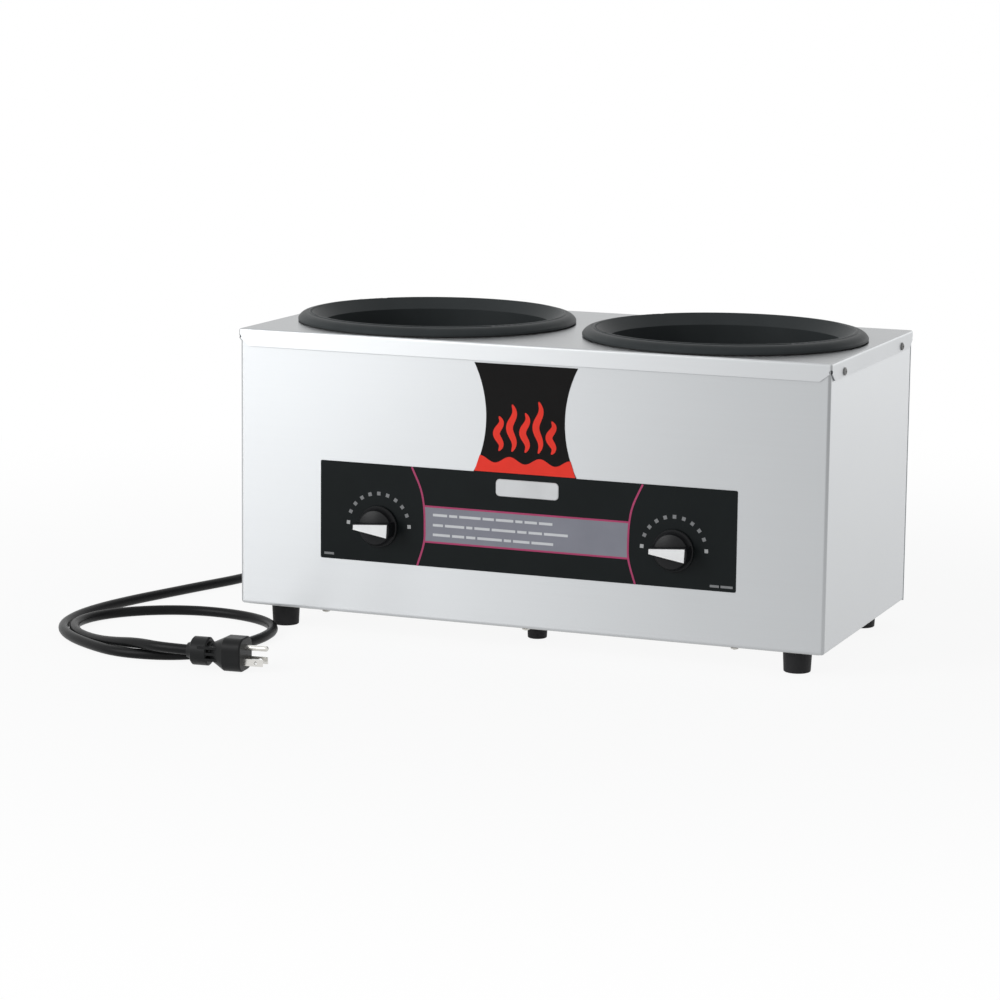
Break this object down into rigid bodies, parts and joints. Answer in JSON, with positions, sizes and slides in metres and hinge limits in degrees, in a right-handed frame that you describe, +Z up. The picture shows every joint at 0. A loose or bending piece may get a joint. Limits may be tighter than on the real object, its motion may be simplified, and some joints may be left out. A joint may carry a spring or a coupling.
{
  "type": "countertop rethermalizer",
  "caption": "Countertop food rethermalizer: a stainless cabinet on rubber feet with round black wells in its deck, thermostat knobs on a black front strip, and a cord with a plug.",
  "frame": {"origin": "middle of the overall width and depth, knobs included and cord left out, on the surface that the feet stand on", "axes": "+X to the operator's right, +Y from the knobs to the back, +Z up out of the wells"},
  "size_m": [0.7322, 0.5829, 0.2918],
  "materials": {
    "brushed_sheet": "brushed along the width",
    "screw_steel": "plain, dull",
    "plated_steel": "zinc plated",
    "foot_rubber": "matte",
    "well_resin": "moulded satin",
    "gasket_rubber": "matte",
    "heater_aluminium": "cast, dull",
    "element_sheath": "oxidised",
    "switch_phenolic": "moulded",
    "copper_tube": "drawn copper",
    "brass_parts": "turned",
    "knob_plastic": "satin",
    "pointer_white": "printed inlay",
    "overlay_film": "printed film",
    "decal_film": "printed film",
    "block_plastic": "moulded",
    "lead_insulation": "silicone sleeve",
    "cord_rubber": "satin jacket",
    "gland_plastic": "moulded",
    "plug_plastic": "moulded",
    "plug_contacts": "nickel plated"
  },
  "bodies": {
    "cabinet": {"outer_wrapper": "brushed_sheet", "top_deck": "brushed_sheet", "rear_panel": "brushed_sheet", "base_plate": "brushed_sheet", "deck_screws": "screw_steel", "rear_screws": "plated_steel", "base_screws": "plated_steel", "foot_screws": "plated_steel", "foot_nuts": "plated_steel", "left_well_collar": "plated_steel", "right_well_collar": "plated_steel", "left_heater_ring_nut": "plated_steel", "right_heater_ring_nut": "plated_steel", "left_thermostat_nut": "plated_steel", "right_thermostat_nut": "plated_steel", "corner_feet": "foot_rubber", "middle_feet": "foot_rubber", "left_well": "well_resin", "right_well": "well_resin", "left_well_gasket": "gasket_rubber", "right_well_gasket": "gasket_rubber", "left_heater_gasket": "gasket_rubber", "right_heater_gasket": "gasket_rubber", "left_heater_dome": "heater_aluminium", "right_heater_dome": "heater_aluminium", "left_heating_element": "element_sheath", "right_heating_element": "element_sheath", "left_limit_switch": "switch_phenolic", "right_limit_switch": "switch_phenolic", "left_thermostat": "switch_phenolic", "right_thermostat": "switch_phenolic", "left_capillary_bulb": "copper_tube", "right_capillary_bulb": "copper_tube", "terminal_clamps": "brass_parts", "ground_stud": "brass_parts", "control_overlay": "overlay_film", "front_decal": "decal_film", "terminal_block": "block_plastic", "wiring_leads": "lead_insulation", "supply_tail": "cord_rubber", "power_cord": "cord_rubber", "strain_relief": "gland_plastic", "strain_relief_nut": "gland_plastic", "plug_body": "plug_plastic", "plug_blades": "plug_contacts", "plug_ground_pin": "plug_contacts"},
    "left_dial": {"left_spindle": "brass_parts", "left_knob": "knob_plastic", "left_pointer": "pointer_white"},
    "right_dial": {"right_spindle": "brass_parts", "right_knob": "knob_plastic", "right_pointer": "pointer_white"}
  },
  "joints": [
    {"name": "left_knob_turn", "type": "hinge", "parent": "cabinet", "child": "left_dial", "pos_m": [-0.1437, -0.1272, 0.1065], "axis": [0, 1, 0], "range_deg": [0, 174]},
    {"name": "right_knob_turn", "type": "hinge", "parent": "cabinet", "child": "right_dial", "pos_m": [0.1437, -0.1272, 0.1065], "axis": [0, 1, 0], "range_deg": [0, 174]}
  ]
}
